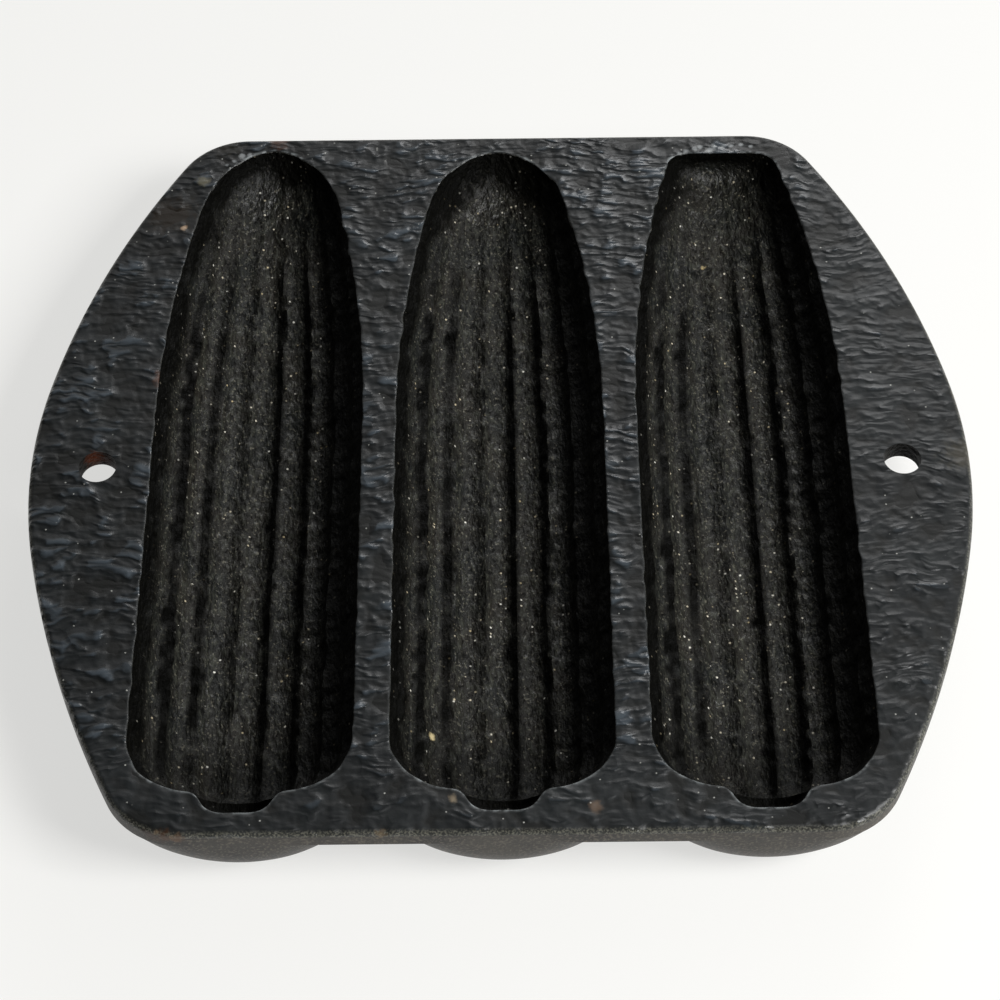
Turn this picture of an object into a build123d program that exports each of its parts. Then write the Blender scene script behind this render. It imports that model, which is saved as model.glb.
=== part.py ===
"""A cast iron pan for baking corn sticks: three half cobs sunk side by side in one thick plate.

The pan is a single casting. It is modelled as the sections that a founder would name: the deck
plate, the two ends that carry the hanging holes, and the three cob moulds, each with its collar,
its kernel rows and its rounded back. X runs along the row of moulds, Y from the stalk ends at the
front to the tips at the far edge, and Z up from the flats that the pan stands on.
"""

import os
from math import asin, cos, pi, radians, sin, sqrt

from build123d import *

os.makedirs("parts", exist_ok=True)

# Plate: depth from the front to the far edge, thickness, edges and the rounded ends
pan_depth = 148.6
plate_thickness = 3.5
top_edge_bevel = 0.8
handle_reach = 17.7
nose_radius = 90.0
nose_half_angle = 11.4
ends_forward = 2.75
flank_margin = 3.76
far_corner_inset = 4.4
corner_round = 13.6

# Hanging holes, one near each rounded end
hole_diameter = 6.4
hole_margin = 11.5

# Cob form: a body of revolution whose axis lies above the deck
cob_radius = 18.7
axis_rise = 5.2
taper_length = 66.8
taper_radius = 246.0
butt_round = 10.0
stalk_margin = 3.9
stalk_length = 3.9
stalk_half_width = 5.9
stalk_depth = 4.5
stalk_corner_round = 2.1
stalk_flare_round = 1.7

# Tips: how far each crown lies from the far edge of the pan, and how round it is
pointed_crown_past_edge = 1.7
pointed_tip_round = 23.0
arched_crown_margin = 0.6
arched_tip_round = 20.0
blunt_crown_margin = 4.9
blunt_tip_round = 3.8
tip_step = 1.1

# Kernels: a whole cob has this many rows, and rows beside each other are half a kernel apart
kernel_rows = 18
kernel_pitch = 4.0
ridge_height = 1.2
kernel_relief = 0.5
fade_length = 14.0
end_relief_share = 0.35

# Steps of the collar and of the back round the butt, along the taper and round the tip
butt_steps = 3
taper_steps = 3
tip_steps = 4

# Walls of the moulds below and through the plate
wall = 3.2
stalk_wall = 3.8
heel_round = 10.4
collar = 1.4
foot_cut = 0.35
back_gap = 1.38
seam_margin = 1.3
overrun = 1.0

half_depth = pan_depth / 2
axis_height = cob_radius + wall - foot_cut
deck_top = axis_height - axis_rise
deck_bottom = deck_top - plate_thickness
stalk_end = stalk_margin - half_depth
heel_end = stalk_end - stalk_wall
shoulder = stalk_end + stalk_length
taper_start = half_depth - taper_length

# Across the pan: backs that just clear each other, collars, seams, ends and holes
back_half_width = sqrt((cob_radius + wall) ** 2 - (axis_rise + plate_thickness) ** 2)
rim_half_width = sqrt((cob_radius + collar) ** 2 - axis_rise**2)
mould_pitch = 2 * back_half_width + back_gap
seam_x = mould_pitch + rim_half_width + seam_margin
end_x = seam_x + handle_reach
hole_x = end_x - hole_margin

# The near flanks run from the noses to the corners, clear of the outer moulds at their widest
nose_x = end_x - nose_radius * (1 - cos(radians(nose_half_angle)))
nose_reach = half_depth - ends_forward - nose_radius * sin(radians(nose_half_angle))
butt_share = (half_depth + shoulder + butt_round) / nose_reach
widest = mould_pitch + rim_half_width + flank_margin
near_corner_x = (widest - nose_x * butt_share) / (1 - butt_share)
far_corner_x = near_corner_x - far_corner_inset

moulds = (
    ("left_cob_mould", -mould_pitch, half_depth + pointed_crown_past_edge, pointed_tip_round),
    ("middle_cob_mould", 0, half_depth - arched_crown_margin, arched_tip_round),
    ("right_cob_mould", mould_pitch, half_depth - blunt_crown_margin, blunt_tip_round),
)


def tip_centre(crown, tip_round):
    """Centre of the tip's arc, which ends the long taper arc without a corner."""
    along = crown - tip_round
    reach = sqrt((taper_radius - tip_round) ** 2 - (along - taper_start) ** 2)
    return along, reach + cob_radius - taper_radius


def taper_turn(crown, tip_round):
    """Angle that the taper arc turns through before the tip's arc takes over."""
    return asin((crown - tip_round - taper_start) / (taper_radius - tip_round))


def cob_radius_at(y, crown, tip_round):
    """Radius of the plain cob, without its kernels, at a place along the axis."""
    along, across = tip_centre(crown, tip_round)
    tangent = taper_start + taper_radius * sin(taper_turn(crown, tip_round))
    butt_centre = shoulder + butt_round
    if y < butt_centre:
        return cob_radius - butt_round + sqrt(butt_round**2 - (butt_centre - y) ** 2)
    if y < taper_start:
        return cob_radius
    if y < tangent:
        return cob_radius - taper_radius + sqrt(taper_radius**2 - (y - taper_start) ** 2)
    return across + sqrt(max(tip_round**2 - (y - along) ** 2, 0))


def last_station(crown, tip_round):
    """Where the hollow ends: at the blunt face, or where a rounded tip is nearly out of the deck."""
    along, across = tip_centre(crown, tip_round)
    rise = axis_rise + tip_step - across
    if rise < 0:
        return crown
    return along + sqrt(tip_round**2 - rise**2)


def kernel_section(x, y, index, end, crown, tip_round):
    """Points round the lower half of the cob at one station, rows of kernels and all."""
    to_end = min(y - shoulder, end - y)
    share = end_relief_share + (1 - end_relief_share) * min(to_end / fade_length, 1)
    radius = cob_radius_at(y, crown, tip_round)
    row_angle = 360 / kernel_rows
    points = []
    for row in range(kernel_rows // 2 + 1):
        for part, drop in enumerate((ridge_height, kernel_relief * ((row + index) % 2))):
            angle = radians((row + part / 2) * row_angle - 90)
            reach = radius - share * drop
            points.append(Vector(x + reach * sin(angle), y, axis_height - reach * cos(angle)))
    return points[:-1]


def kernel_form(x, crown, tip_round):
    """Solid that hollows out one mould: flat facets, two across a kernel and two along it."""
    end = last_station(crown, tip_round)
    count = round((end - shoulder) / (kernel_pitch / 2))
    places = [shoulder + (end - shoulder) * index / count for index in range(count + 1)]
    sections = [kernel_section(x, y, index, end, crown, tip_round) for index, y in enumerate(places)]
    outlines = [sections[0], sections[-1]]
    outlines.append([points[0] for points in sections] + [points[-1] for points in reversed(sections)])
    for near, far in zip(sections, sections[1:]):
        for spot in range(len(near) - 1):
            outlines.append([near[spot], near[spot + 1], far[spot + 1]])
            outlines.append([near[spot], far[spot + 1], far[spot]])
    return Solid(Shell([Face(Wire.make_polygon(outline)) for outline in outlines]))


def side_points(butt_end, butt, growth, lowest, crown, tip_round):
    """Radius and place along the axis at steps from butt to tip, for a cob grown by a wall."""
    along, across = tip_centre(crown, tip_round)
    turned = pi / 2 + taper_turn(crown, tip_round)
    finish = pi - asin(max(lowest - across, 0) / (tip_round + growth))
    taper = taper_radius + growth
    tip = tip_round + growth
    arcs = (
        (butt_end + butt, cob_radius + growth - butt, butt, 0, pi / 2, range(butt_steps + 1), butt_steps),
        (taper_start, cob_radius - taper_radius, taper, pi / 2, turned, range(taper_steps), taper_steps),
        (along, across, tip, turned, finish, range(tip_steps + 1), tip_steps),
    )
    points = []
    for y, middle, arc_radius, start, last, steps, count in arcs:
        for step in steps:
            turn = start + (last - start) * step / count
            points.append((middle + arc_radius * sin(turn), y - arc_radius * cos(turn)))
    if across < lowest:
        points[-1] = (lowest, points[-1][1])
    return points


def collar_outline(x, crown, tip_round):
    """Plan of one mould where it passes through the deck, stalk pocket and all."""
    front = stalk_end - collar
    side = side_points(shoulder - collar, butt_round + collar, collar, axis_rise, crown, tip_round)
    rim = [(sqrt(radius**2 - axis_rise**2), y) for radius, y in side]
    with BuildSketch(Plane(origin=(x, 0, deck_top))) as outline:
        with BuildLine():
            Polyline((0, rim[0][1]), *rim)
            mirror(about=Plane.YZ)
        make_hull()
        with Locations((0, front)):
            Rectangle(2 * (stalk_half_width + collar), shoulder - front, align=(Align.CENTER, Align.MIN))
        fillet(outline.vertices().group_by(Axis.Y)[0], stalk_corner_round + collar)
    return outline.sketch


# The whole plate, before it is cut at the seams between its sections
with BuildPart() as plate:
    with BuildSketch(Plane.XY.offset(deck_bottom)) as plan:
        with BuildLine():
            nose_centre = (end_x - nose_radius, -ends_forward)
            nose = CenterArc(nose_centre, nose_radius, -nose_half_angle, 2 * nose_half_angle)
            TangentArc(nose @ 1, (far_corner_x, half_depth), tangent=nose % 1)
            TangentArc(nose @ 0, (near_corner_x, -half_depth), tangent=-(nose % 0))
            mirror(about=Plane.YZ)
            Line((-far_corner_x, half_depth), (far_corner_x, half_depth))
            Line((-near_corner_x, -half_depth), (near_corner_x, -half_depth))
        make_face()
        corners = plan.vertices().group_by(Axis.Y)
        fillet(corners[0] + corners[-1], corner_round)
    extrude(amount=plate_thickness)
    chamfer(plate.faces().sort_by(Axis.Z)[-1].edges(), top_edge_bevel)

# Deck plate: the flat between the moulds, open where each collar passes through
with BuildPart() as deck_plate:
    add(plate.part)
    split(bisect_by=Plane.YZ.offset(-seam_x), keep=Keep.TOP)
    split(bisect_by=Plane.YZ.offset(seam_x), keep=Keep.BOTTOM)
    for name, x, crown, tip_round in moulds:
        extrude(collar_outline(x, crown, tip_round), amount=-plate_thickness, mode=Mode.SUBTRACT)

deck_plate.part.label = "deck_plate"
export_step(deck_plate.part, "parts/deck_plate.step")

# Handle ends: the rounded ends to hold the pan by, each with a hole to hang it from
for name, side, keep in (("left_handle_end", -1, Keep.BOTTOM), ("right_handle_end", 1, Keep.TOP)):
    with BuildPart() as handle_end:
        add(plate.part)
        split(bisect_by=Plane.YZ.offset(side * seam_x), keep=keep)
        with Locations((side * hole_x, -ends_forward, deck_top)):
            Hole(radius=hole_diameter / 2)
    handle_end.part.label = name
    export_step(handle_end.part, f"parts/{name}.step")

# Cob moulds: a rounded back, a collar through the deck, the kernel rows and the stalk pocket
for name, x, crown, tip_round in moulds:
    back = side_points(heel_end, heel_round, wall, 0, crown, tip_round)
    tip_centre_line = [] if back[-1][0] == 0 else [(0, back[-1][1])]

    with BuildPart() as stalk_form:
        with BuildSketch(Plane(origin=(x, 0, deck_top))) as stalk:
            with Locations((0, stalk_end)):
                Rectangle(2 * stalk_half_width, stalk_length + overrun, align=(Align.CENTER, Align.MIN))
            with Locations((0, shoulder)):
                Rectangle(2 * stalk_half_width + 3 * stalk_flare_round, overrun, align=(Align.CENTER, Align.MIN))
            levels = stalk.vertices().group_by(Axis.Y)
            fillet(levels[0], stalk_corner_round)
            necks = stalk.vertices().group_by(Axis.Y)[-2].sort_by(Axis.X)[1:-1]
            fillet(necks, stalk_flare_round)
        extrude(amount=-stalk_depth)
        extrude(stalk.sketch, amount=overrun)

    with BuildPart() as cob_mould:
        with BuildSketch(Plane(origin=(x, 0, axis_height))):
            with BuildLine():
                Polyline((0, heel_end), *back, *tip_centre_line, close=True)
            make_face()
        revolve(axis=Axis((x, 0, axis_height), (0, 1, 0)), revolution_arc=180)
        split(bisect_by=Plane.XY.offset(deck_bottom), keep=Keep.BOTTOM)
        split(bisect_by=Plane.XY, keep=Keep.TOP)
        extrude(collar_outline(x, crown, tip_round), amount=-plate_thickness)
        add(kernel_form(x, crown, tip_round), mode=Mode.SUBTRACT)
        add(stalk_form.part, mode=Mode.SUBTRACT)
    cob_mould.part.label = name
    export_step(cob_mould.part, f"parts/{name}.step")
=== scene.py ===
from math import acos, asin, cos, floor, pi, radians, sin, sqrt

import bmesh
import bpy
from mathutils import Matrix, Vector, noise


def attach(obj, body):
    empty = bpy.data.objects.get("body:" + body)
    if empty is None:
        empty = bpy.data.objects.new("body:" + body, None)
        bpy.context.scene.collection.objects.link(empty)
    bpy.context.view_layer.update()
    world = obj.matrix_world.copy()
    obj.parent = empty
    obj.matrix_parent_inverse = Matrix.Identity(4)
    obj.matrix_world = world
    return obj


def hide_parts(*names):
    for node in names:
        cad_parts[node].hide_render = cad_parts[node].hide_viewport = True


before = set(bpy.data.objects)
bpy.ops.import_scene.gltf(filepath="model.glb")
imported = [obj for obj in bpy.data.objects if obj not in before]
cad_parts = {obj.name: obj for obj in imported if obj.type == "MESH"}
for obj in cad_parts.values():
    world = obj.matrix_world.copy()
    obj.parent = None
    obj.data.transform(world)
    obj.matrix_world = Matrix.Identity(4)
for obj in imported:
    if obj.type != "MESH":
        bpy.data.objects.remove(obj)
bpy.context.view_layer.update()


# Camera: the photograph was taken from the front, well above the pan, with a long lens.
# The stand point was fitted to the pan's outline, its hanging holes and the rims of its hollows.
aim = Vector((-0.00004, -0.01065, 0.01635))
elevation = radians(53.41)
yaw = radians(0.16)
roll = radians(-0.73)
distance = 0.4455

look_back = Vector((sin(yaw) * cos(elevation), -cos(yaw) * cos(elevation), sin(elevation)))
level_right = look_back.cross(Vector((0, 0, -1))).normalized()
level_up = look_back.cross(level_right)
camera_right = level_right * cos(roll) + level_up * sin(roll)
camera_up = level_up * cos(roll) - level_right * sin(roll)
camera_data = bpy.data.cameras.new("photo_camera")
camera_data.lens = 95.28
camera_data.sensor_width = 36
camera = bpy.data.objects.new("photo_camera", camera_data)
camera.location = aim + look_back * distance
camera.rotation_euler = Matrix((camera_right, camera_up, look_back)).transposed().to_euler()
bpy.context.collection.objects.link(camera)
bpy.context.scene.camera = camera


# Floor and light: a white table, a soft light from the right and a small one from behind, in a
# dim room that brightens toward the back. The pan's shadow falls faintly to the left.
def add(tree, kind, inputs=None, **settings):
    """Adds a node with its settings, and sets or links the sockets that are named."""
    node = tree.nodes.new(kind)
    for setting, value in settings.items():
        setattr(node, setting, value)
    for socket, value in (inputs or {}).items():
        if isinstance(value, bpy.types.NodeSocket):
            tree.links.new(value, node.inputs[socket])
        else:
            node.inputs[socket].default_value = value
    return node


def linear(code):
    """Linear colour of an sRGB hex code."""
    shares = [int(code[place : place + 2], 16) / 255 for place in (1, 3, 5)]
    return tuple(s / 12.92 if s <= 0.04045 else ((s + 0.055) / 1.055) ** 2.4 for s in shares) + (1,)


def start_material(name):
    """Empty material and the tree that its nodes go in."""
    material = bpy.data.materials.new(name)
    material.use_nodes = True
    material.node_tree.nodes.clear()
    return material, material.node_tree


# Matt white paper. To the camera and in gloss most of it is plain white, so the shadow is faint.
plain_share = 0.66
table_paper, tree = start_material("matt_white_paper")
lit = add(tree, "ShaderNodeBsdfDiffuse", {"Color": linear("#f6f5f1")})
plain = add(tree, "ShaderNodeEmission", {"Color": linear("#fdfdfb"), "Strength": 1.0})
rays = add(tree, "ShaderNodeLightPath").outputs
seen = add(
    tree,
    "ShaderNodeMath",
    {0: rays["Is Camera Ray"], 1: rays["Is Glossy Ray"]},
    operation="MAXIMUM",
).outputs[0]
share = add(tree, "ShaderNodeMath", {0: seen, 1: plain_share}, operation="MULTIPLY").outputs[0]
paper = add(tree, "ShaderNodeMixShader", {0: share, 1: lit.outputs[0], 2: plain.outputs[0]})
add(tree, "ShaderNodeOutputMaterial", {"Surface": paper.outputs[0]})

bm = bmesh.new()
bmesh.ops.create_grid(bm, x_segments=1, y_segments=1, size=2.0)
table_mesh = bpy.data.meshes.new("table")
bm.to_mesh(table_mesh)
bm.free()
table_mesh.materials.append(table_paper)
table = bpy.data.objects.new("table", table_mesh)
bpy.context.collection.objects.link(table)

for name, place, watts in (
    ("right_softbox", (0.54, -0.26, 0.55), 7.9),
    ("back_softbox", (0.20, 0.74, 0.40), 1.6),
):
    lamp = bpy.data.lights.new(name, "AREA")
    lamp.size = 0.34
    lamp.energy = watts
    softbox = bpy.data.objects.new(name, lamp)
    softbox.location = place
    softbox.rotation_euler = Vector(place).to_track_quat("Z", "Y").to_euler()
    bpy.context.collection.objects.link(softbox)

bright_side = (0.20, 0.90, 0.0)
world = bpy.data.worlds.new("pale_room")
world.use_nodes = True
world.node_tree.nodes.clear()
tree = world.node_tree
way = add(tree, "ShaderNodeTexCoord").outputs["Generated"]
toward = add(
    tree, "ShaderNodeVectorMath", {0: way, 1: bright_side}, operation="DOT_PRODUCT"
).outputs["Value"]
level = add(
    tree,
    "ShaderNodeMapRange",
    {0: toward, 1: 0.20, 2: 0.75, 3: 0.03, 4: 0.50},
    interpolation_type="SMOOTHSTEP",
).outputs[0]
sky = add(tree, "ShaderNodeBackground", {"Color": linear("#ffffff"), "Strength": level})
add(tree, "ShaderNodeOutputWorld", {"Surface": sky.outputs[0]})
bpy.context.scene.world = world
bpy.context.scene.view_settings.view_transform = "Standard"


# Cob moulds: the three half cobs, cast with the plate. Each has a hollow pressed into the sand by
# a cob-shaped pattern, a stalk pocket at the front, a narrow collar of deck round the rim, and a
# rounded back with a ground flat that the pan stands on. Sizes are in millimetres.
pan_depth = 148.6
plate_thickness = 3.5
cob_radius = 18.7
axis_rise = 5.2
wall = 3.2
foot_cut = 0.35
collar = 1.4
butt_round = 10.0
taper_radius = 246.0
heel_round = 10.4
half_depth = pan_depth / 2
axis_height = cob_radius + wall - foot_cut
deck_top = axis_height - axis_rise
deck_bottom = deck_top - plate_thickness
taper_start = half_depth - 66.8
stalk_end = 3.9 - half_depth
shoulder = stalk_end + 3.9
heel_end = 0.1 - half_depth
back_half_width = sqrt((cob_radius + wall) ** 2 - (axis_rise + plate_thickness) ** 2)
rim_half_width = sqrt((cob_radius + collar) ** 2 - axis_rise**2)
mould_pitch = 2 * back_half_width + 1.38
seam_x = mould_pitch + rim_half_width + 1.3
moulds = (
    ("left_cob_mould", -mould_pitch, half_depth + 1.7, 23.0),
    ("middle_cob_mould", 0, half_depth - 0.6, 20.0),
    ("right_cob_mould", mould_pitch, half_depth - 4.9, 3.8),
)


def cob_side(butt_end, butt, growth, count, crown, tip_round):
    """Side of a cob grown by a wall, from butt to tip: places along the axis and their radii."""
    along = crown - tip_round
    turn = asin((along - taper_start) / (taper_radius - tip_round))
    reach = sqrt((taper_radius - tip_round) ** 2 - (along - taper_start) ** 2)
    across = reach + cob_radius - taper_radius
    arcs = (
        (butt_end + butt, cob_radius + growth - butt, butt, 0, pi / 2),
        (taper_start, cob_radius - taper_radius, taper_radius + growth, pi / 2, pi / 2 + turn),
        (along, across, tip_round + growth, pi / 2 + turn, pi),
    )
    line = []
    for y, middle, arc_radius, first, last in arcs:
        for step in range(count + 1):
            angle = first + (last - first) * step / count
            line.append((y - arc_radius * cos(angle), middle + arc_radius * sin(angle)))
    line.append((line[-1][0], 0))
    return line


def evenly(line, step, travel):
    """Points along a line at even steps of the way that travel() measures between two of them."""
    walked = [0]
    for near, far in zip(line, line[1:]):
        walked.append(walked[-1] + travel(near, far))
    count = max(round(walked[-1] / step), 1)
    points = []
    spot = 0
    for index in range(count + 1):
        goal = walked[-1] * index / count
        while spot < len(walked) - 2 and walked[spot + 1] < goal:
            spot += 1
        gap = walked[spot + 1] - walked[spot]
        share = (goal - walked[spot]) / gap if gap else 0
        points.append([a + (b - a) * share for a, b in zip(line[spot], line[spot + 1])])
    return points


def farthest(near, far):
    """The longer way between two stations: along the rim or along the bottom of the hollow."""
    along, wider, deeper = (b - a for a, b in zip(near[:3], far[:3]))
    return max(sqrt(along**2 + wider**2), sqrt(along**2 + deeper**2))


# The stalk pocket is 11.8 mm wide and 4.5 mm deep. It starts as a small upright end and opens over
# 3.3 mm in a quarter of an ellipse. A running average over the first part of the line turns the
# corner where it meets the cob. pocket_radius stands in for a cob's there, to space the mesh.
stalk_half_width = 5.9
stalk_depth = 4.5
pocket_end_half_width = 2.3
pocket_end_depth = 1.8
pocket_opening = 3.3
pocket_widening = 3.6
pocket_deepening = 2.7
pocket_radius = 9
pocket_average = (9, 9, 5)
averaged_length = 8
fine_step = 0.1
surface_step = 0.45


def stations(crown, tip_round):
    """Cross sections of a hollow from the stalk's end to the tip.

    Each is a place along the axis, half the width at the rim, the depth, the cob's radius, and
    a share that is 1 in the stalk pocket and 0 in the cob.
    """
    line = []
    for step in range(25):
        wide = pocket_end_half_width * step / 24
        deep = pocket_end_depth * step / 24
        line.append((stalk_end, wide, deep, pocket_radius, 1))
    for step in range(1, 41):
        turn = pi / 2 * step / 40
        y = stalk_end + pocket_opening * (1 - cos(turn))
        wide = pocket_end_half_width + pocket_widening * sin(turn)
        deep = pocket_end_depth + pocket_deepening * sin(turn)
        line.append((y, wide, deep, pocket_radius, 1))
    line.append((shoulder - 0.1, stalk_half_width, stalk_depth, pocket_radius, 1))
    for y, radius in cob_side(shoulder, butt_round, 0, 600, crown, tip_round):
        if radius <= axis_rise:
            break
        line.append((y, sqrt(radius**2 - axis_rise**2), radius - axis_rise, radius, 0))
    line.append((y, 0, 0, axis_rise, 0))
    line = evenly(line, fine_step, farthest)
    front = sum(station[0] < shoulder + averaged_length for station in line)
    for reach in pocket_average:
        smooth = []
        for index in range(front):
            window = line[max(index - reach, 0) : index + reach + 1]
            lead = line[1 : max(reach - index, 0) + 1]
            window = window + [[p[0], -p[1], -p[2], p[3], p[4]] for p in lead]
            smooth.append([sum(p[part] for p in window) / len(window) for part in range(5)])
        line[:front] = smooth
    line[0][1] = 0
    line[0][2] = 0
    return evenly(line, surface_step, farthest)


def outward(places, index):
    """Direction square to the rim and away from the hollow, at a station of its right side."""
    if index == 0:
        return Vector((0, -1))
    if index == len(places) - 1:
        return Vector((0, 1))
    near, far = places[index - 1], places[index + 1]
    return Vector((far[0] - near[0], near[1] - far[1])).normalized()


def seam_line(crown, tip_round):
    """Right half of the seam round a mould, seen from above, with the mould's axis at x = 0."""
    places = stations(crown, tip_round)
    right = []
    for index, station in enumerate(places):
        way = outward(places, index)
        right.append(Vector((station[1] + way.x * collar, station[0] + way.y * collar)))
    right[0].x = 0
    right[-1].x = 0
    return right


# Kernel rows: round ridges with a groove on each side. On this old pan the rows wander, the
# kernels are worn nearly smooth, and both fade out toward the butt and the tip.
row_angle = radians(18.4)
kernel_pitch = 3.9
ridge_height = 1.9
kernel_relief = 0.2
row_blend = 0.3
butt_fade = 6.0
tip_bare = 7.0
tip_fade = 30.0


def row_drop(row, angle, y, mould):
    """How far one row of kernels lies inside the plain cob at a spot.

    Noise along the row shifts its kernels, wears them, sways the row and varies its height.
    """
    shift = kernel_pitch * (0.5 * (row % 2) + 0.25 * noise.noise(Vector((row * 3.1, y / 9, mould))))
    kernel = round((y - shift) / kernel_pitch)
    along = 2 * (y - shift - kernel * kernel_pitch) / kernel_pitch
    size = noise.cell(Vector((row + 0.5, kernel + 0.5, mould * 7.3)))
    clear = 0.5 + 0.9 * noise.noise(Vector((row * 2.7, y / 11, mould * 5.1)))
    clear = min(max(clear, 0.1), 1)
    sway = 0.20 * noise.noise(Vector((y / 5.5, row * 5.7, mould * 2.3)))
    across = 2 * (angle / row_angle - row) + sway
    across = across / (1 + 0.10 * clear * cos(pi * along) + 0.05 * size)
    height = 0.72 + 0.5 * noise.noise(Vector((y / 8, row * 9.1 + 3, mould * 1.7)))
    return (
        ridge_height * height * min(abs(across), 1.4) ** 2.3
        + kernel_relief * clear * abs(along) ** 2.2 * (1 - 0.5 * min(abs(across), 1))
        + 0.10 * size * clear
    )


def kernel_drop(angle, y, end, mould):
    """Drop of the surface at a spot, by the higher of the two nearest rows and lumps of crust."""
    row = round(angle / row_angle)
    other = row + (1 if angle / row_angle > row else -1)
    one = row_drop(row, angle, y, mould)
    two = row_drop(other, angle, y, mould)
    blend = max(row_blend - abs(one - two), 0) / row_blend
    drop = min(one, two) - row_blend * blend**2 / 4
    to_end = min(max(y - shoulder, 0), max(end - y, 0))
    from_tip = min(max(end - y - tip_bare, 0) / tip_fade, 1)
    share = min(max(y - shoulder, 0) / butt_fade, from_tip, 1)
    share = share * share * (3 - 2 * share)
    spot = Vector((angle * cob_radius, y, mould * 31))
    coarse = (0.22 + 0.25 * (1 - share)) * noise.noise(spot / 2.6)
    lumps = coarse + 0.14 * noise.noise(spot / 1.1)
    near_rim = 1 - 0.55 * max(abs(angle) / row_angle - 3, 0) / 0.7
    return max(drop * (0.12 + 0.88 * share) * near_rim + lumps * min(to_end / 2.5, 1), 0)


# Two attributes of the mesh tell the materials what to paint. One is painted shade, black where
# shade falls: beside the ridges, counted here from left to right, on the right wall, in the stalk
# pocket and along the near end. The other is worn, bare iron with a painted highlight along the
# rim: most on its edge, and less a column or two down into the hollow (1, 2) or out on the deck
# (-1, -2).
shade_by_ridge = (1.0, 1.0, 0.85, 0.3, 1.0, 1.0, 0.9, 0.9)
wear_and_highlight_by_column = {2: 0.25, 1: 0.7, 0: 1.0, -1: 0.8, -2: 0.3}


def painted_shade_share(angle, y, end, mould):
    """How much painted shade lies at a spot of the hollow, from 0 to 1."""
    number = floor(angle / row_angle)
    ridge = number + 0.5
    off = angle / row_angle - ridge
    keeps = shade_by_ridge[min(max(number + 4, 0), 7)]
    waver = noise.noise(Vector((y / 5, ridge * 3.7, mould * 9.1)))
    sway = 0.09 * noise.noise(Vector((y / 2.2, ridge, mould)))
    width = 0.17 + 0.07 * waver
    band = min(max((width - abs(off + 0.13 + sway)) / 0.08 + 0.5, 0), 1)
    beside = band * keeps * (1.0 + 0.5 * waver) * min(max((end - y - tip_bare) / tip_fade, 0), 1)
    # The right wall, the near end and the stalk pocket get painted shade too.
    right_wall = min(max((angle / row_angle - 1.75) / 0.5, 0), 1)
    near_end = min(max((shoulder + 24 - y) / 14, 0), 1)
    in_pocket = min(max((shoulder + 4 - y) / 3, 0), 1)
    return max(beside, 0.85 * right_wall, 0.6 * near_end, 0.95 * in_pocket)


# Columns of the hollow's mesh: steps down from the rim in millimetres, then even ones to the
# bottom, and outside the rim shares of the way across the collar of deck, from the seam inward.
# The columns next to the rim are softened, so that it isn't sharp.
rim_steps = (0.14, 0.32, 0.56)
hollow_columns = 48
collar_shares = (1, 0.66, 0.4, 0.22, 0.1)
least_half_way = 2.2
pocket_power = 0.75
softened_columns = range(-2, 4)
softening_rounds = 5
merge_distance = 0.004


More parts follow.
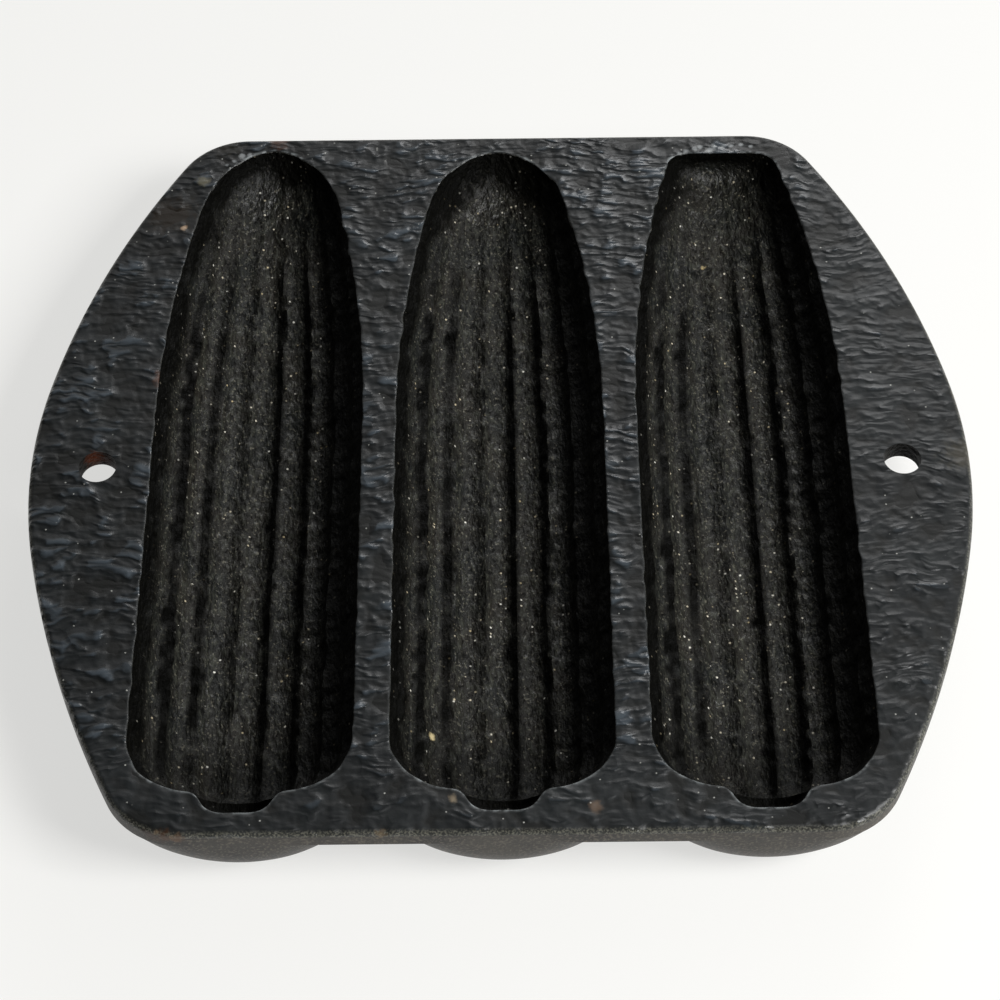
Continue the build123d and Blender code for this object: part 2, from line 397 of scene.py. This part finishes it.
def make_hollow(bm, x, crown, tip_round, mould):
    """Lays a grid into the hollow, over its rim and out to the seam. Returns its open edges.

    A column's inward number is 0 on the rim, above 0 in the hollow and below 0 on the deck.
    """
    places = stations(crown, tip_round)
    seam = seam_line(crown, tip_round)
    end = places[-1][0]
    rows = len(places)
    columns = 2 * (len(collar_shares) + len(rim_steps)) + hollow_columns + 3
    middle = (columns - 1) // 2
    rim_column = middle - len(collar_shares)
    bmesh.ops.create_grid(bm, x_segments=columns - 1, y_segments=rows - 1, size=1)
    painted_shade = bm.verts.layers.float.new("painted_shade")
    worn_and_highlight = bm.verts.layers.float.new("worn_and_highlight")
    softened = []
    for vert in bm.verts:
        column = round((vert.co.x + 1) / 2 * (columns - 1)) - middle
        row = round((vert.co.y + 1) / 2 * (rows - 1))
        side = -1 if column < 0 else 1
        inward = rim_column - abs(column)
        y, half_width, depth, radius, pocket = places[row]
        reach = acos(min(axis_rise / radius, 1))
        half_way = max(reach * radius, least_half_way)
        if inward <= 0:
            share = 1
        elif inward <= len(rim_steps):
            share = 1 - rim_steps[inward - 1] / half_way
        else:
            share = (1 - rim_steps[-1] / half_way) * abs(column) / (rim_column - len(rim_steps))
        angle = side * share * reach

        vert[painted_shade] = min(max(painted_shade_share(angle, y, end, mould), 0.95 * pocket, 0), 1)
        # The rim's wear is also painted as a highlight, most toward the ends.
        at_ends = min(max((shoulder + 6 - y) / 4, (y - end + 6) / 4, 0), 1)
        uneven = 0.8 + 1.2 * noise.noise(Vector((side * 7, y / 1.6, mould * 3)))
        vert[worn_and_highlight] = (0.05 + 0.7 * at_ends) * uneven * wear_and_highlight_by_column.get(inward, 0)

        drop = kernel_drop(angle, y, end, mould) * (1 - pocket)
        rim_wear = max(share - 0.8, 0) * 5 * (1 - pocket) * min(max(end - y, 0) / 3, 1)
        dents = 0.30 * noise.noise(Vector((side * 5, y / 3.2, mould)))
        nicks = 0.12 * noise.noise(Vector((side * 9, y, mould)))
        drop += rim_wear * (dents + nicks)
        if share == 1:
            angle = side * acos(min(axis_rise / max(radius - drop, axis_rise), 1))
        cob_x = (radius - drop) * sin(angle)
        cob_z = axis_height - (radius - drop) * cos(angle)
        turn = share * pi / 2
        pocket_x = side * half_width * sin(turn) ** pocket_power
        pocket_z = deck_top - depth * max(cos(turn), 0) ** pocket_power
        blended_x = cob_x + (pocket_x - cob_x) * pocket
        blended_z = cob_z + (pocket_z - cob_z) * pocket
        place = Vector((blended_x, y, blended_z))
        place.z = deck_top if inward <= 0 else min(place.z, deck_top)
        if inward < 0:
            outer = Vector((side * seam[row].x, seam[row].y, deck_top))
            place = place.lerp(outer, collar_shares[len(collar_shares) + inward])
        if inward in softened_columns:
            softened.append(vert)
        vert.co = place + Vector((x, 0, 0))
    bmesh.ops.remove_doubles(bm, verts=bm.verts, dist=merge_distance)
    softened = [vert for vert in softened if vert.is_valid]
    for _ in range(softening_rounds):
        bmesh.ops.smooth_vert(
            bm, verts=softened, factor=0.5, use_axis_x=True, use_axis_y=True, use_axis_z=True
        )
    return [edge for edge in bm.edges if edge.is_boundary]


# The back's side starts 8 mm from the axis. What would lie nearer is cut away at the deck anyway.
back_start = 8
back_step = 1.2
back_turns = 64


def straight(near, far):
    """Straight way between two points of a side."""
    return sqrt((far[0] - near[0]) ** 2 + (far[1] - near[1]) ** 2)


def make_back(x, crown, tip_round):
    """Spins the side of the back half a turn, and cuts it at the deck and at the foot's flat."""
    back = bmesh.new()
    line = [(heel_end, back_start)] + cob_side(heel_end, heel_round, wall, 40, crown, tip_round)
    line = [point for point in line if point[1] >= back_start]
    line = evenly(line, back_step, straight)
    verts = [back.verts.new((x + radius, y, axis_height)) for y, radius in line]
    edges = [back.edges.new(pair) for pair in zip(verts, verts[1:])]
    bmesh.ops.spin(
        back,
        geom=verts + edges,
        cent=(x, 0, axis_height),
        axis=(0, 1, 0),
        dvec=(0, 0, 0),
        angle=pi,
        steps=back_turns,
    )
    for height, up in ((deck_bottom, 1), (0, -1)):
        cut = bmesh.ops.bisect_plane(
            back,
            geom=back.verts[:] + back.edges[:] + back.faces[:],
            dist=0.0001,
            plane_co=(0, 0, height),
            plane_no=(0, 0, up),
            clear_outer=True,
        )
    foot = [item for item in cut["geom_cut"] if isinstance(item, bmesh.types.BMEdge)]
    bmesh.ops.contextual_create(back, geom=foot)
    return back


def section_object(name, bm, materials):
    """Puts a finished mesh, in millimetres, into the scene as the piece for its node."""
    bmesh.ops.scale(bm, vec=(0.001, 0.001, 0.001), verts=bm.verts)
    mesh = bpy.data.meshes.new(name)
    bm.to_mesh(mesh)
    bm.free()
    mesh.shade_smooth()
    mesh.set_sharp_from_angle(angle=radians(38))
    for material in materials:
        mesh.materials.append(material)
    piece = bpy.data.objects.new("cast_" + name, mesh)
    bpy.context.collection.objects.link(piece)
    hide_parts(name)
    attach(piece, "root")


def ragged_spots(tree, spot, colour, marks):
    """Lays ragged stains or painted glints: x, y, z and reach in mm, shade and strength."""
    ragged = add(tree, "ShaderNodeTexNoise", {"Vector": spot, "Scale": 900.0, "Detail": 3.0})
    ragged = ragged.outputs["Fac"]
    for x, y, z, reach, shade, strength in marks:
        centre = (x / 1000, y / 1000, z / 1000)
        away = add(
            tree, "ShaderNodeVectorMath", {0: spot, 1: centre}, operation="DISTANCE"
        ).outputs["Value"]
        uneven = add(
            tree, "ShaderNodeMath", {0: ragged, 1: -reach / 450, 2: away}, operation="MULTIPLY_ADD"
        ).outputs[0]
        cover = add(
            tree,
            "ShaderNodeMapRange",
            {0: uneven, 1: reach / 4000, 2: -reach / 1600, 3: 0.0, 4: strength},
        ).outputs[0]
        colour = add(
            tree, "ShaderNodeMix", {0: cover, 6: colour, 7: linear(shade)}, data_type="RGBA"
        ).outputs[2]
    return colour


# Sand-cast grey iron, baked with oil: nearly black with a blue-grey cast, satin, and dragged into
# short level ripples that glint, about 3.8 mm long and 1.5 mm wide, in blotches of 5 mm. They are
# fainter along the front and on the right end, where it is handled. The sand's grain is drawn a
# little coarse, at 0.3 mm, so that it shows.
deck_iron, tree = start_material("oil_seasoned_sand_cast_iron")
spot = add(tree, "ShaderNodeTexCoord").outputs["Object"]
wide = add(tree, "ShaderNodeTexNoise", {"Vector": spot, "Scale": 55.0, "Detail": 3.0})
sway = add(
    tree,
    "ShaderNodeVectorMath",
    {0: wide.outputs["Color"], 1: (0.010, 0.010, 0.0)},
    operation="MULTIPLY",
)
bent = add(
    tree, "ShaderNodeVectorMath", {0: spot, 1: sway.outputs[0]}, operation="ADD"
).outputs[0]
drawn = add(tree, "ShaderNodeMapping", {"Vector": bent, "Scale": (265.0, 660.0, 660.0)}).outputs[0]
dashes = add(
    tree,
    "ShaderNodeTexNoise",
    {"Vector": drawn, "Scale": 1.0, "Detail": 1.0, "Roughness": 0.4, "Distortion": 0.2},
).outputs["Fac"]
blotch = add(
    tree,
    "ShaderNodeTexNoise",
    {"Vector": spot, "Scale": 210.0, "Detail": 2.0, "Roughness": 0.5},
).outputs["Fac"]
across = add(tree, "ShaderNodeSeparateXYZ", {0: bent}).outputs
drag = add(tree, "ShaderNodeMapRange", {0: blotch, 1: 0.36, 2: 0.60, 3: 0.25, 4: 1.0}).outputs[0]
handled = add(
    tree, "ShaderNodeMapRange", {0: across["X"], 1: 0.048, 2: 0.066, 3: 1.0, 4: 0.72}
).outputs[0]
wiped = add(
    tree, "ShaderNodeMapRange", {0: across["Y"], 1: -0.048, 2: -0.060, 3: 1.0, 4: 0.78}
).outputs[0]
for share in (handled, wiped):
    drag = add(tree, "ShaderNodeMath", {0: drag, 1: share}, operation="MULTIPLY").outputs[0]
ripple = add(tree, "ShaderNodeMath", {0: dashes, 1: drag}, operation="MULTIPLY").outputs[0]
grain = add(tree, "ShaderNodeTexNoise", {"Vector": spot, "Scale": 3200.0, "Detail": 2.0})
grain = grain.outputs["Fac"]

# Its tones: black iron in patches, scorched blotches, and the crests of the ripples painted
# lighter as a highlight.
patchy = add(
    tree, "ShaderNodeMapRange", {0: wide.outputs["Fac"], 1: 0.35, 2: 0.65, 3: 0.25, 4: 0.75}
).outputs[0]
scorched = add(
    tree, "ShaderNodeMapRange", {0: blotch, 1: 0.50, 2: 0.36, 3: 0.0, 4: 0.75}
).outputs[0]
crest_highlight = add(tree, "ShaderNodeMapRange", {0: ripple, 1: 0.46, 2: 0.66, 3: 0.0, 4: 0.9}).outputs[0]

# Its wear and painted highlights: the plate's upper edge is lighter, rubbed in the grain and
# painted as a highlight, and the rims are bare in places, with a painted highlight along them.
height = add(tree, "ShaderNodeSeparateXYZ", {0: spot}).outputs["Z"]
edge = add(tree, "ShaderNodeMapRange", {0: height, 1: 0.01632, 2: 0.01600, 3: 0.0, 4: 1.0})
rubbed = add(tree, "ShaderNodeMapRange", {0: grain, 1: 0.46, 2: 0.60, 3: 0.1, 4: 0.9})
rubbed_edge_and_highlight = add(
    tree, "ShaderNodeMath", {0: edge.outputs[0], 1: rubbed.outputs[0]}, operation="MULTIPLY"
).outputs[0]
# Bare iron on the rims, with a painted highlight along them.
rim = add(tree, "ShaderNodeAttribute", attribute_name="worn_and_highlight").outputs["Fac"]
breaks = add(tree, "ShaderNodeTexNoise", {"Vector": spot, "Scale": 800.0, "Detail": 2.0})
broken = add(
    tree, "ShaderNodeMapRange", {0: breaks.outputs["Fac"], 1: 0.42, 2: 0.58, 3: 0.15, 4: 1.0}
).outputs[0]
bare_rim_and_highlight = add(tree, "ShaderNodeMath", {0: rim, 1: broken}, operation="MULTIPLY").outputs[0]

# The ripple crests, the upper edge and the rims are made lighter partly as painted highlights.
tone = linear("#0f1112")
for cover, shade in (
    (patchy, "#222526"),
    (scorched, "#0e0e0b"),
    (crest_highlight, "#434a50"),
    (rubbed_edge_and_highlight, "#66655b"),
    (bare_rim_and_highlight, "#84898a"),
):
    tone = add(
        tree, "ShaderNodeMix", {0: cover, 6: tone, 7: linear(shade)}, data_type="RGBA"
    ).outputs[2]

# Rust and crust spots, and small painted glints on the far rims of the two outer moulds.
marks = (
    (-40.9, 74.0, 16.0, 1.8, "#6b4c3c", 0.5),
    (-50.5, 72.5, 16.3, 3.0, "#2c2921", 0.5),
    (-60.0, 55.4, 16.3, 4.0, "#21190f", 0.7),
    (-57.2, 51.9, 16.3, 0.5, "#a98f74", 0.8),
    (-54.5, 63.6, 16.3, 1.2, "#716a52", 0.5),
    (-59.0, 16.4, 16.3, 1.4, "#54392c", 0.6),
    (-7.9, -68.4, 16.2, 0.7, "#8f8069", 0.6),
    (14.5, -70.1, 16.3, 1.1, "#6e5a49", 0.5),
    (-18.9, -73.8, 15.4, 0.8, "#7d6748", 0.6),
    (-54.6, -73.3, 14.7, 1.2, "#3a2211", 0.7),
    (-52.4, -73.8, 14.9, 1.1, "#4f3017", 0.7),
    (-50.2, -74.0, 15.0, 0.9, "#5d4128", 0.7),
    (-53.6, -73.2, 15.5, 0.5, "#8a7358", 0.6),
    (-51.1, -73.7, 15.5, 0.5, "#8a7358", 0.6),
    (-49.4, -73.9, 15.4, 0.4, "#8a7358", 0.5),
    (78.9, -1.9, 15.6, 3.2, "#4a463c", 0.5),
    (-68.8, 0.0, 14.6, 1.4, "#633722", 0.7),
)
painted_rim_glints = (
    (33.9, 69.3, 0.5),
    (35.2, 69.8, 0.5),
    (36.8, 70.5, 0.5),
    (37.9, 70.8, 0.5),
    (39.7, 70.2, 0.8),
    (40.4, 71.2, 0.5),
    (42.0, 70.8, 0.5),
    (43.7, 71.2, 0.4),
    (45.6, 71.4, 0.4),
    (47.4, 70.9, 0.4),
    (-47.5, 69.8, 0.6),
    (-46.1, 70.2, 0.5),
    (-48.8, 68.5, 0.4),
    (-50.2, 67.6, 0.4),
    (-43.3, 70.7, 0.4),
)
# The far rims' glints are painted as pale grey spots.
marks += tuple((x, y, 16.2, reach, "#a3a7a8", 0.6) for x, y, reach in painted_rim_glints)
tone = ragged_spots(tree, spot, tone, marks)

# Bright specks in about one out of thirty cells of 0.8 mm, standing for grains of sand or salt
# and for painted glints.
cells = add(tree, "ShaderNodeTexVoronoi", {"Vector": spot, "Scale": 1250.0, "Randomness": 1.0})
luck = add(tree, "ShaderNodeSeparateColor", {0: cells.outputs["Color"]}).outputs[0]
rare = add(tree, "ShaderNodeMath", {0: luck, 1: 0.965}, operation="GREATER_THAN").outputs[0]
near = add(
    tree, "ShaderNodeMapRange", {0: cells.outputs["Distance"], 1: 0.25, 2: 0.08, 3: 0.0, 4: 0.9}
).outputs[0]
fleck = add(tree, "ShaderNodeMath", {0: rare, 1: near}, operation="MULTIPLY").outputs[0]
tone = add(
    tree, "ShaderNodeMix", {0: fleck, 6: tone, 7: linear("#a9a9a3")}, data_type="RGBA"
).outputs[2]
satin = add(tree, "ShaderNodeMapRange", {0: ripple, 1: 0.30, 2: 0.52, 3: 0.46, 4: 0.24}).outputs[0]
waves = add(tree, "ShaderNodeBump", {"Strength": 1.0, "Distance": 0.0009, "Height": ripple})
sand = add(
    tree,
    "ShaderNodeBump",
    {"Strength": 0.4, "Distance": 0.00005, "Height": grain, "Normal": waves.outputs[0]},
)
shader = add(
    tree,
    "ShaderNodeBsdfPrincipled",
    {"Base Color": tone, "Roughness": satin, "Specular IOR Level": 0.42, "Normal": sand.outputs[0]},
)
add(tree, "ShaderNodeOutputMaterial", {"Surface": shader.outputs[0]})

# The same iron inside a hollow, where crust and old oil build up: browner and duller, with lumps
# about 0.7 mm wide and 1.6 mm long along the cob and a grit of 0.5 mm. The lumps' tops are
# painted lighter as a highlight, the pits between them darker as painted shade, and painted shade
# makes it blacker in places.
hollow_iron, tree = start_material("crusted_oil_seasoned_iron")
spot = add(tree, "ShaderNodeTexCoord").outputs["Object"]
wide = add(tree, "ShaderNodeTexNoise", {"Vector": spot, "Scale": 140.0, "Detail": 3.0})
wide = wide.outputs["Fac"]
drawn = add(
    tree, "ShaderNodeMapping", {"Vector": spot, "Scale": (1350.0, 640.0, 1350.0)}
).outputs[0]
lumps = add(
    tree,
    "ShaderNodeTexNoise",
    {"Vector": drawn, "Scale": 1.0, "Detail": 2.0, "Roughness": 0.5, "Distortion": 0.2},
).outputs["Fac"]
grain = add(tree, "ShaderNodeTexNoise", {"Vector": spot, "Scale": 1900.0, "Detail": 2.0})
grain = grain.outputs["Fac"]
patchy = add(tree, "ShaderNodeMapRange", {0: wide, 1: 0.35, 2: 0.65, 3: 0.0, 4: 1.0}).outputs[0]
crest_highlight = add(tree, "ShaderNodeMapRange", {0: lumps, 1: 0.50, 2: 0.68, 3: 0.0, 4: 0.8}).outputs[0]
grit = add(tree, "ShaderNodeMapRange", {0: grain, 1: 0.60, 2: 0.70, 3: 0.0, 4: 0.55}).outputs[0]
pit_shade = add(tree, "ShaderNodeMapRange", {0: lumps, 1: 0.42, 2: 0.31, 3: 0.0, 4: 0.75}).outputs[0]

# Painted shade lies where the mesh's shade attribute has it, and in a ragged ring under the rim.
height = add(tree, "ShaderNodeSeparateXYZ", {0: spot}).outputs["Z"]
for pattern, lift in ((wide, 0.0090), (lumps, 0.0045)):
    height = add(
        tree, "ShaderNodeMath", {0: pattern, 1: lift, 2: height}, operation="MULTIPLY_ADD"
    ).outputs[0]
shade_ring = add(
    tree, "ShaderNodeMapRange", {0: height, 1: 0.0174, 2: 0.0204, 3: 0.0, 4: 0.95}
).outputs[0]
beside = add(tree, "ShaderNodeAttribute", attribute_name="painted_shade").outputs["Fac"]
painted_shade = add(tree, "ShaderNodeMath", {0: shade_ring, 1: beside}, operation="MAXIMUM").outputs[0]

# Lump tops get a painted highlight, and the pits and shaded places get painted shade.
tone = linear("#0e100e")
for cover, shade in (
    (patchy, "#1c1a15"),
    (crest_highlight, "#383933"),
    (grit, "#6f6c5f"),
    (pit_shade, "#050504"),
    (painted_shade, "#040403"),
):
    tone = add(
        tree, "ShaderNodeMix", {0: cover, 6: tone, 7: linear(shade)}, data_type="RGBA"
    ).outputs[2]

# Grains of flour, golden to pale, in cells of 0.9 mm: few in most places and more in some
# patches, and hardly any where shade is painted.
cells = add(tree, "ShaderNodeTexVoronoi", {"Vector": spot, "Scale": 1150.0, "Randomness": 1.0})
parts = add(tree, "ShaderNodeSeparateColor", {0: cells.outputs["Color"]})
sieve = add(tree, "ShaderNodeMapRange", {0: wide, 1: 0.46, 2: 0.64, 3: 0.98, 4: 0.82}).outputs[0]
rare = add(
    tree, "ShaderNodeMath", {0: parts.outputs[0], 1: sieve}, operation="GREATER_THAN"
).outputs[0]
near = add(
    tree, "ShaderNodeMapRange", {0: cells.outputs["Distance"], 1: 0.30, 2: 0.10, 3: 0.0, 4: 1.0}
).outputs[0]
fleck = add(tree, "ShaderNodeMath", {0: rare, 1: near}, operation="MULTIPLY").outputs[0]
clean = add(tree, "ShaderNodeMapRange", {0: painted_shade, 1: 0.0, 2: 0.8, 3: 1.0, 4: 0.15}).outputs[0]
fleck = add(tree, "ShaderNodeMath", {0: fleck, 1: clean}, operation="MULTIPLY").outputs[0]
flour = add(
    tree,
    "ShaderNodeMix",
    {0: parts.outputs[1], 6: linear("#b3a27c"), 7: linear("#e6e4da")},
    data_type="RGBA",
).outputs[2]
tone = add(tree, "ShaderNodeMix", {0: fleck, 6: tone, 7: flour}, data_type="RGBA").outputs[2]

# Crumbs of old bread, and the rust on the wall of the left hanging hole.
crumbs = (
    (37.2, 50.3, 6.5, 0.5, "#e6cf97", 0.9),
    (37.8, 49.4, 6.5, 0.5, "#e6cf97", 0.9),
    (-8.3, 59.7, 9.0, 0.6, "#b98a45", 0.8),
    (-11.3, -51.2, 7.0, 0.6, "#c9b98c", 0.8),
    (15.9, -47.9, 6.0, 0.5, "#a3814b", 0.7),
    (-68.8, 0.2, 15.0, 2.2, "#4a2413", 0.8),
)
tone = ragged_spots(tree, spot, tone, crumbs)
swell = add(tree, "ShaderNodeBump", {"Strength": 1.0, "Distance": 0.00045, "Height": lumps})
sand = add(
    tree,
    "ShaderNodeBump",
    {"Strength": 0.8, "Distance": 0.00010, "Height": grain, "Normal": swell.outputs[0]},
)
dull = add(tree, "ShaderNodeMapRange", {0: lumps, 1: 0.38, 2: 0.60, 3: 0.60, 4: 0.36}).outputs[0]
dull = add(tree, "ShaderNodeMix", {0: painted_shade, 2: dull, 3: 0.6}).outputs[0]
# Where shade is painted, the reflection is cut too.
shade_matt = add(tree, "ShaderNodeMath", {0: painted_shade, 1: pit_shade}, operation="MAXIMUM").outputs[0]
gloss = add(
    tree,
    "ShaderNodeMix",
    {0: shade_matt, 6: linear("#ffffff"), 7: linear("#303030")},
    data_type="RGBA",
).outputs[2]
shader = add(
    tree,
    "ShaderNodeBsdfPrincipled",
    {
        "Base Color": tone,
        "Roughness": dull,
        "Specular IOR Level": 0.3,
        "Specular Tint": gloss,
        "Normal": sand.outputs[0],
    },
)
add(tree, "ShaderNodeOutputMaterial", {"Surface": shader.outputs[0]})

# The outside of the casting, wiped and rubbed but seldom greased: a dry warm grey brown with
# pale specks on its grain of 0.45 mm.
outer_iron, tree = start_material("dry_rubbed_cast_iron")
spot = add(tree, "ShaderNodeTexCoord").outputs["Object"]
wide = add(tree, "ShaderNodeTexNoise", {"Vector": spot, "Scale": 90.0, "Detail": 4.0})
grain = add(tree, "ShaderNodeTexNoise", {"Vector": spot, "Scale": 2200.0, "Detail": 3.0})
grain = grain.outputs["Fac"]
patchy = add(
    tree, "ShaderNodeMapRange", {0: wide.outputs["Fac"], 1: 0.3, 2: 0.7, 3: 0.0, 4: 1.0}
).outputs[0]
speck = add(tree, "ShaderNodeMapRange", {0: grain, 1: 0.50, 2: 0.66, 3: 0.0, 4: 0.8}).outputs[0]
tone = linear("#1b1815")
for cover, shade in ((patchy, "#38342d"), (speck, "#5c564b")):
    tone = add(
        tree, "ShaderNodeMix", {0: cover, 6: tone, 7: linear(shade)}, data_type="RGBA"
    ).outputs[2]
# The same stains on the outside, with the painted rim glints where they fall on it.
tone = ragged_spots(tree, spot, tone, marks)
sand = add(tree, "ShaderNodeBump", {"Strength": 0.8, "Distance": 0.00008, "Height": grain})
shader = add(
    tree,
    "ShaderNodeBsdfPrincipled",
    {"Base Color": tone, "Roughness": 0.5, "Normal": sand.outputs[0]},
)
add(tree, "ShaderNodeOutputMaterial", {"Surface": shader.outputs[0]})
iron = [deck_iron, hollow_iron, outer_iron]

# The collar's wall goes straight down through the deck, drawn in a little at the tip. The crust
# starts just under the rim, and the back is dry.
draft = 0.04
draft_start = 56
draft_length = 10
draft_centre = 50
crust_depth = 0.2
for mould, (name, x, crown, tip_round) in enumerate(moulds, 1):
    bm = bmesh.new()
    rim_edges = make_hollow(bm, x, crown, tip_round, mould)
    hollow_faces = set(bm.faces)
    collar_wall = bmesh.ops.extrude_edge_only(bm, edges=rim_edges)["geom"]
    for vert in collar_wall:
        if isinstance(vert, bmesh.types.BMVert):
            vert.co.z = deck_bottom
            drawn = 1 - min(draft * max(vert.co.y - draft_start, 0) / draft_length, draft)
            vert.co.x = x + (vert.co.x - x) * drawn
            vert.co.y = draft_centre + (vert.co.y - draft_centre) * drawn
    back = make_back(x, crown, tip_round)
    back_mesh = bpy.data.meshes.new("back")
    back.to_mesh(back_mesh)
    back.free()
    bm.from_mesh(back_mesh)
    bpy.data.meshes.remove(back_mesh)
    open_edges = [edge for edge in bm.edges if edge.is_boundary]
    bmesh.ops.triangle_fill(
        bm, edges=open_edges, use_beauty=True, use_dissolve=False, normal=(0, 0, 1)
    )
    bmesh.ops.recalc_face_normals(bm, faces=bm.faces)
    for face in bm.faces:
        if face not in hollow_faces:
            face.material_index = iron.index(outer_iron)
        elif face.calc_center_median().z < deck_top - crust_depth:
            face.material_index = iron.index(hollow_iron)
    section_object(name, bm, iron)


# Deck plate: the flat plate that holds the three moulds together, cast in one pour with them. It
# is greased on top and round its soft upper edge, and dry on its walls and below. The near corners
# lie where the line from them to the nose passes the outer cobs' butts at flank_gap.
handle_reach = 17.7
nose_radius = 90.0
nose_half_angle = radians(11.4)
ends_forward = 2.75
corner_round = 13.6
edge_round = 1.1
flank_gap = 3.76
far_inset = 4.4
end_x = seam_x + handle_reach
nose_x = end_x - nose_radius * (1 - cos(nose_half_angle))
nose_reach = half_depth - ends_forward - nose_radius * sin(nose_half_angle)
butt_share = (half_depth + shoulder + butt_round) / nose_reach
beside_butt = mould_pitch + rim_half_width + flank_gap
near_corner_x = (beside_butt - nose_x * butt_share) / (1 - butt_share)
far_corner_x = near_corner_x - far_inset


def flank_and_corner(corner_x, side):
    """Points from the nose to the straight edge on the far (1) or near (-1) side, right half."""
    start = Vector((nose_x, -ends_forward + side * nose_radius * sin(nose_half_angle)))
    inward = Vector((-cos(nose_half_angle), -side * sin(nose_half_angle)))
    chord = Vector((corner_x, side * half_depth)) - start
    radius = chord.length_squared / (2 * inward.dot(chord))
    centre = start + inward * radius
    round_y = side * (half_depth - corner_round)
    round_x = centre.x + sqrt((radius - corner_round) ** 2 - (round_y - centre.y) ** 2)
    heart = Vector((round_x, round_y))
    meet = centre + (heart - centre).normalized() * radius
    first = asin((start.y - centre.y) / radius)
    last = asin((meet.y - centre.y) / radius)
    points = []
    for step in range(61):
        angle = first + (last - first) * step / 60
        points.append(centre + Vector((cos(angle), sin(angle))) * radius)
    turn = asin(side * (meet.y - heart.y) / corner_round)
    for step in range(1, 21):
        angle = turn + (pi / 2 - turn) * step / 20
        points.append(heart + Vector((cos(angle), side * sin(angle))) * corner_round)
    return points


def plan_loop():
    """The whole plate's outline, counter-clockwise from the middle of the near edge."""
    near = list(reversed(flank_and_corner(near_corner_x, -1)))
    far = flank_and_corner(far_corner_x, 1)
    nose = []
    for step in range(1, 20):
        angle = nose_half_angle * (step / 10 - 1)
        out = end_x - nose_radius + nose_radius * cos(angle)
        nose.append(Vector((out, -ends_forward + nose_radius * sin(angle))))
    near_edge = [Vector((near[0].x * step / 60, -half_depth)) for step in range(60)]
    far_edge = [Vector((far[-1].x * (1 - step / 60), half_depth)) for step in range(1, 61)]
    right = near_edge + near + nose + far + far_edge
    return right + [Vector((-p.x, p.y)) for p in reversed(right[1:-1])]


def plate_section(seams, openings):
    """Makes the whole plate with some openings, rounds its upper edge and cuts it at the seams."""
    bm = bmesh.new()
    outer = [bm.verts.new((p.x, p.y, deck_top)) for p in plan_loop()]
    loops = [outer]
    for opening in openings:
        loops.append([bm.verts.new(point) for point in opening])
    edges = []
    for loop in loops:
        edges += [bm.edges.new((loop[index - 1], loop[index])) for index in range(len(loop))]
    bmesh.ops.triangle_fill(bm, edges=edges, use_beauty=True, use_dissolve=False, normal=(0, 0, 1))
    grown = bmesh.ops.extrude_face_region(bm, geom=bm.faces[:])
    for item in grown["geom"]:
        if isinstance(item, bmesh.types.BMVert):
            item.co.z = deck_bottom
    bmesh.ops.recalc_face_normals(bm, faces=bm.faces)
    outer = set(outer)
    upper_edges = [
        edge
        for edge in bm.edges
        if edge.verts[0] in outer
        and edge.verts[1] in outer
        and len(edge.link_faces) == 2
        and any(abs(face.normal.z) < 0.5 for face in edge.link_faces)
    ]
    bmesh.ops.bevel(
        bm,
        geom=upper_edges,
        offset=edge_round,
        segments=6,
        profile=0.5,
        affect="EDGES",
        clamp_overlap=False,
        material=-1,
    )
    for seam, way in seams:
        cut = bmesh.ops.bisect_plane(
            bm,
            geom=bm.verts[:] + bm.edges[:] + bm.faces[:],
            dist=0.0001,
            plane_co=(seam, 0, 0),
            plane_no=(way, 0, 0),
            clear_outer=True,
        )["geom_cut"]
        cut_edges = [item for item in cut if isinstance(item, bmesh.types.BMEdge)]
        bmesh.ops.contextual_create(bm, geom=cut_edges)
    bmesh.ops.recalc_face_normals(bm, faces=bm.faces)
    for face in bm.faces:
        if face.normal.z < 0.05:
            face.material_index = iron.index(outer_iron)
    return bm


openings = []
for name, x, crown, tip_round in moulds:
    right = seam_line(crown, tip_round)
    opening = [Vector((x + p.x, p.y, deck_top)) for p in right]
    openings.append(opening + [Vector((x - p.x, p.y, deck_top)) for p in reversed(right[1:-1])])
bm = plate_section([(-seam_x, -1), (seam_x, 1)], openings)
section_object("deck_plate", bm, iron)


# Handle ends: the rounded ends to hold the pan by, cast with the plate. Each has a plain hole to
# hang it from, whose wall has the hollows' crusted iron with its ring of painted shade, and rust
# on the left.
hole_radius = 3.2
hole_inset = 11.5
hole_sides = 48
hair = 0.05
hole_x = end_x - hole_inset
for name, side in (("left_handle_end", -1), ("right_handle_end", 1)):
    centre = Vector((side * hole_x, -ends_forward, deck_top))
    hole = []
    for step in range(hole_sides):
        angle = 2 * pi * step / hole_sides
        out = side * hole_x + hole_radius * cos(angle)
        hole.append(Vector((out, -ends_forward + hole_radius * sin(angle), deck_top)))
    bm = plate_section([(side * seam_x, -side)], [hole])
    for face in bm.faces:
        if (face.calc_center_median() - centre).xy.length < hole_radius + hair:
            face.material_index = iron.index(hollow_iron)
    section_object(name, bm, iron)
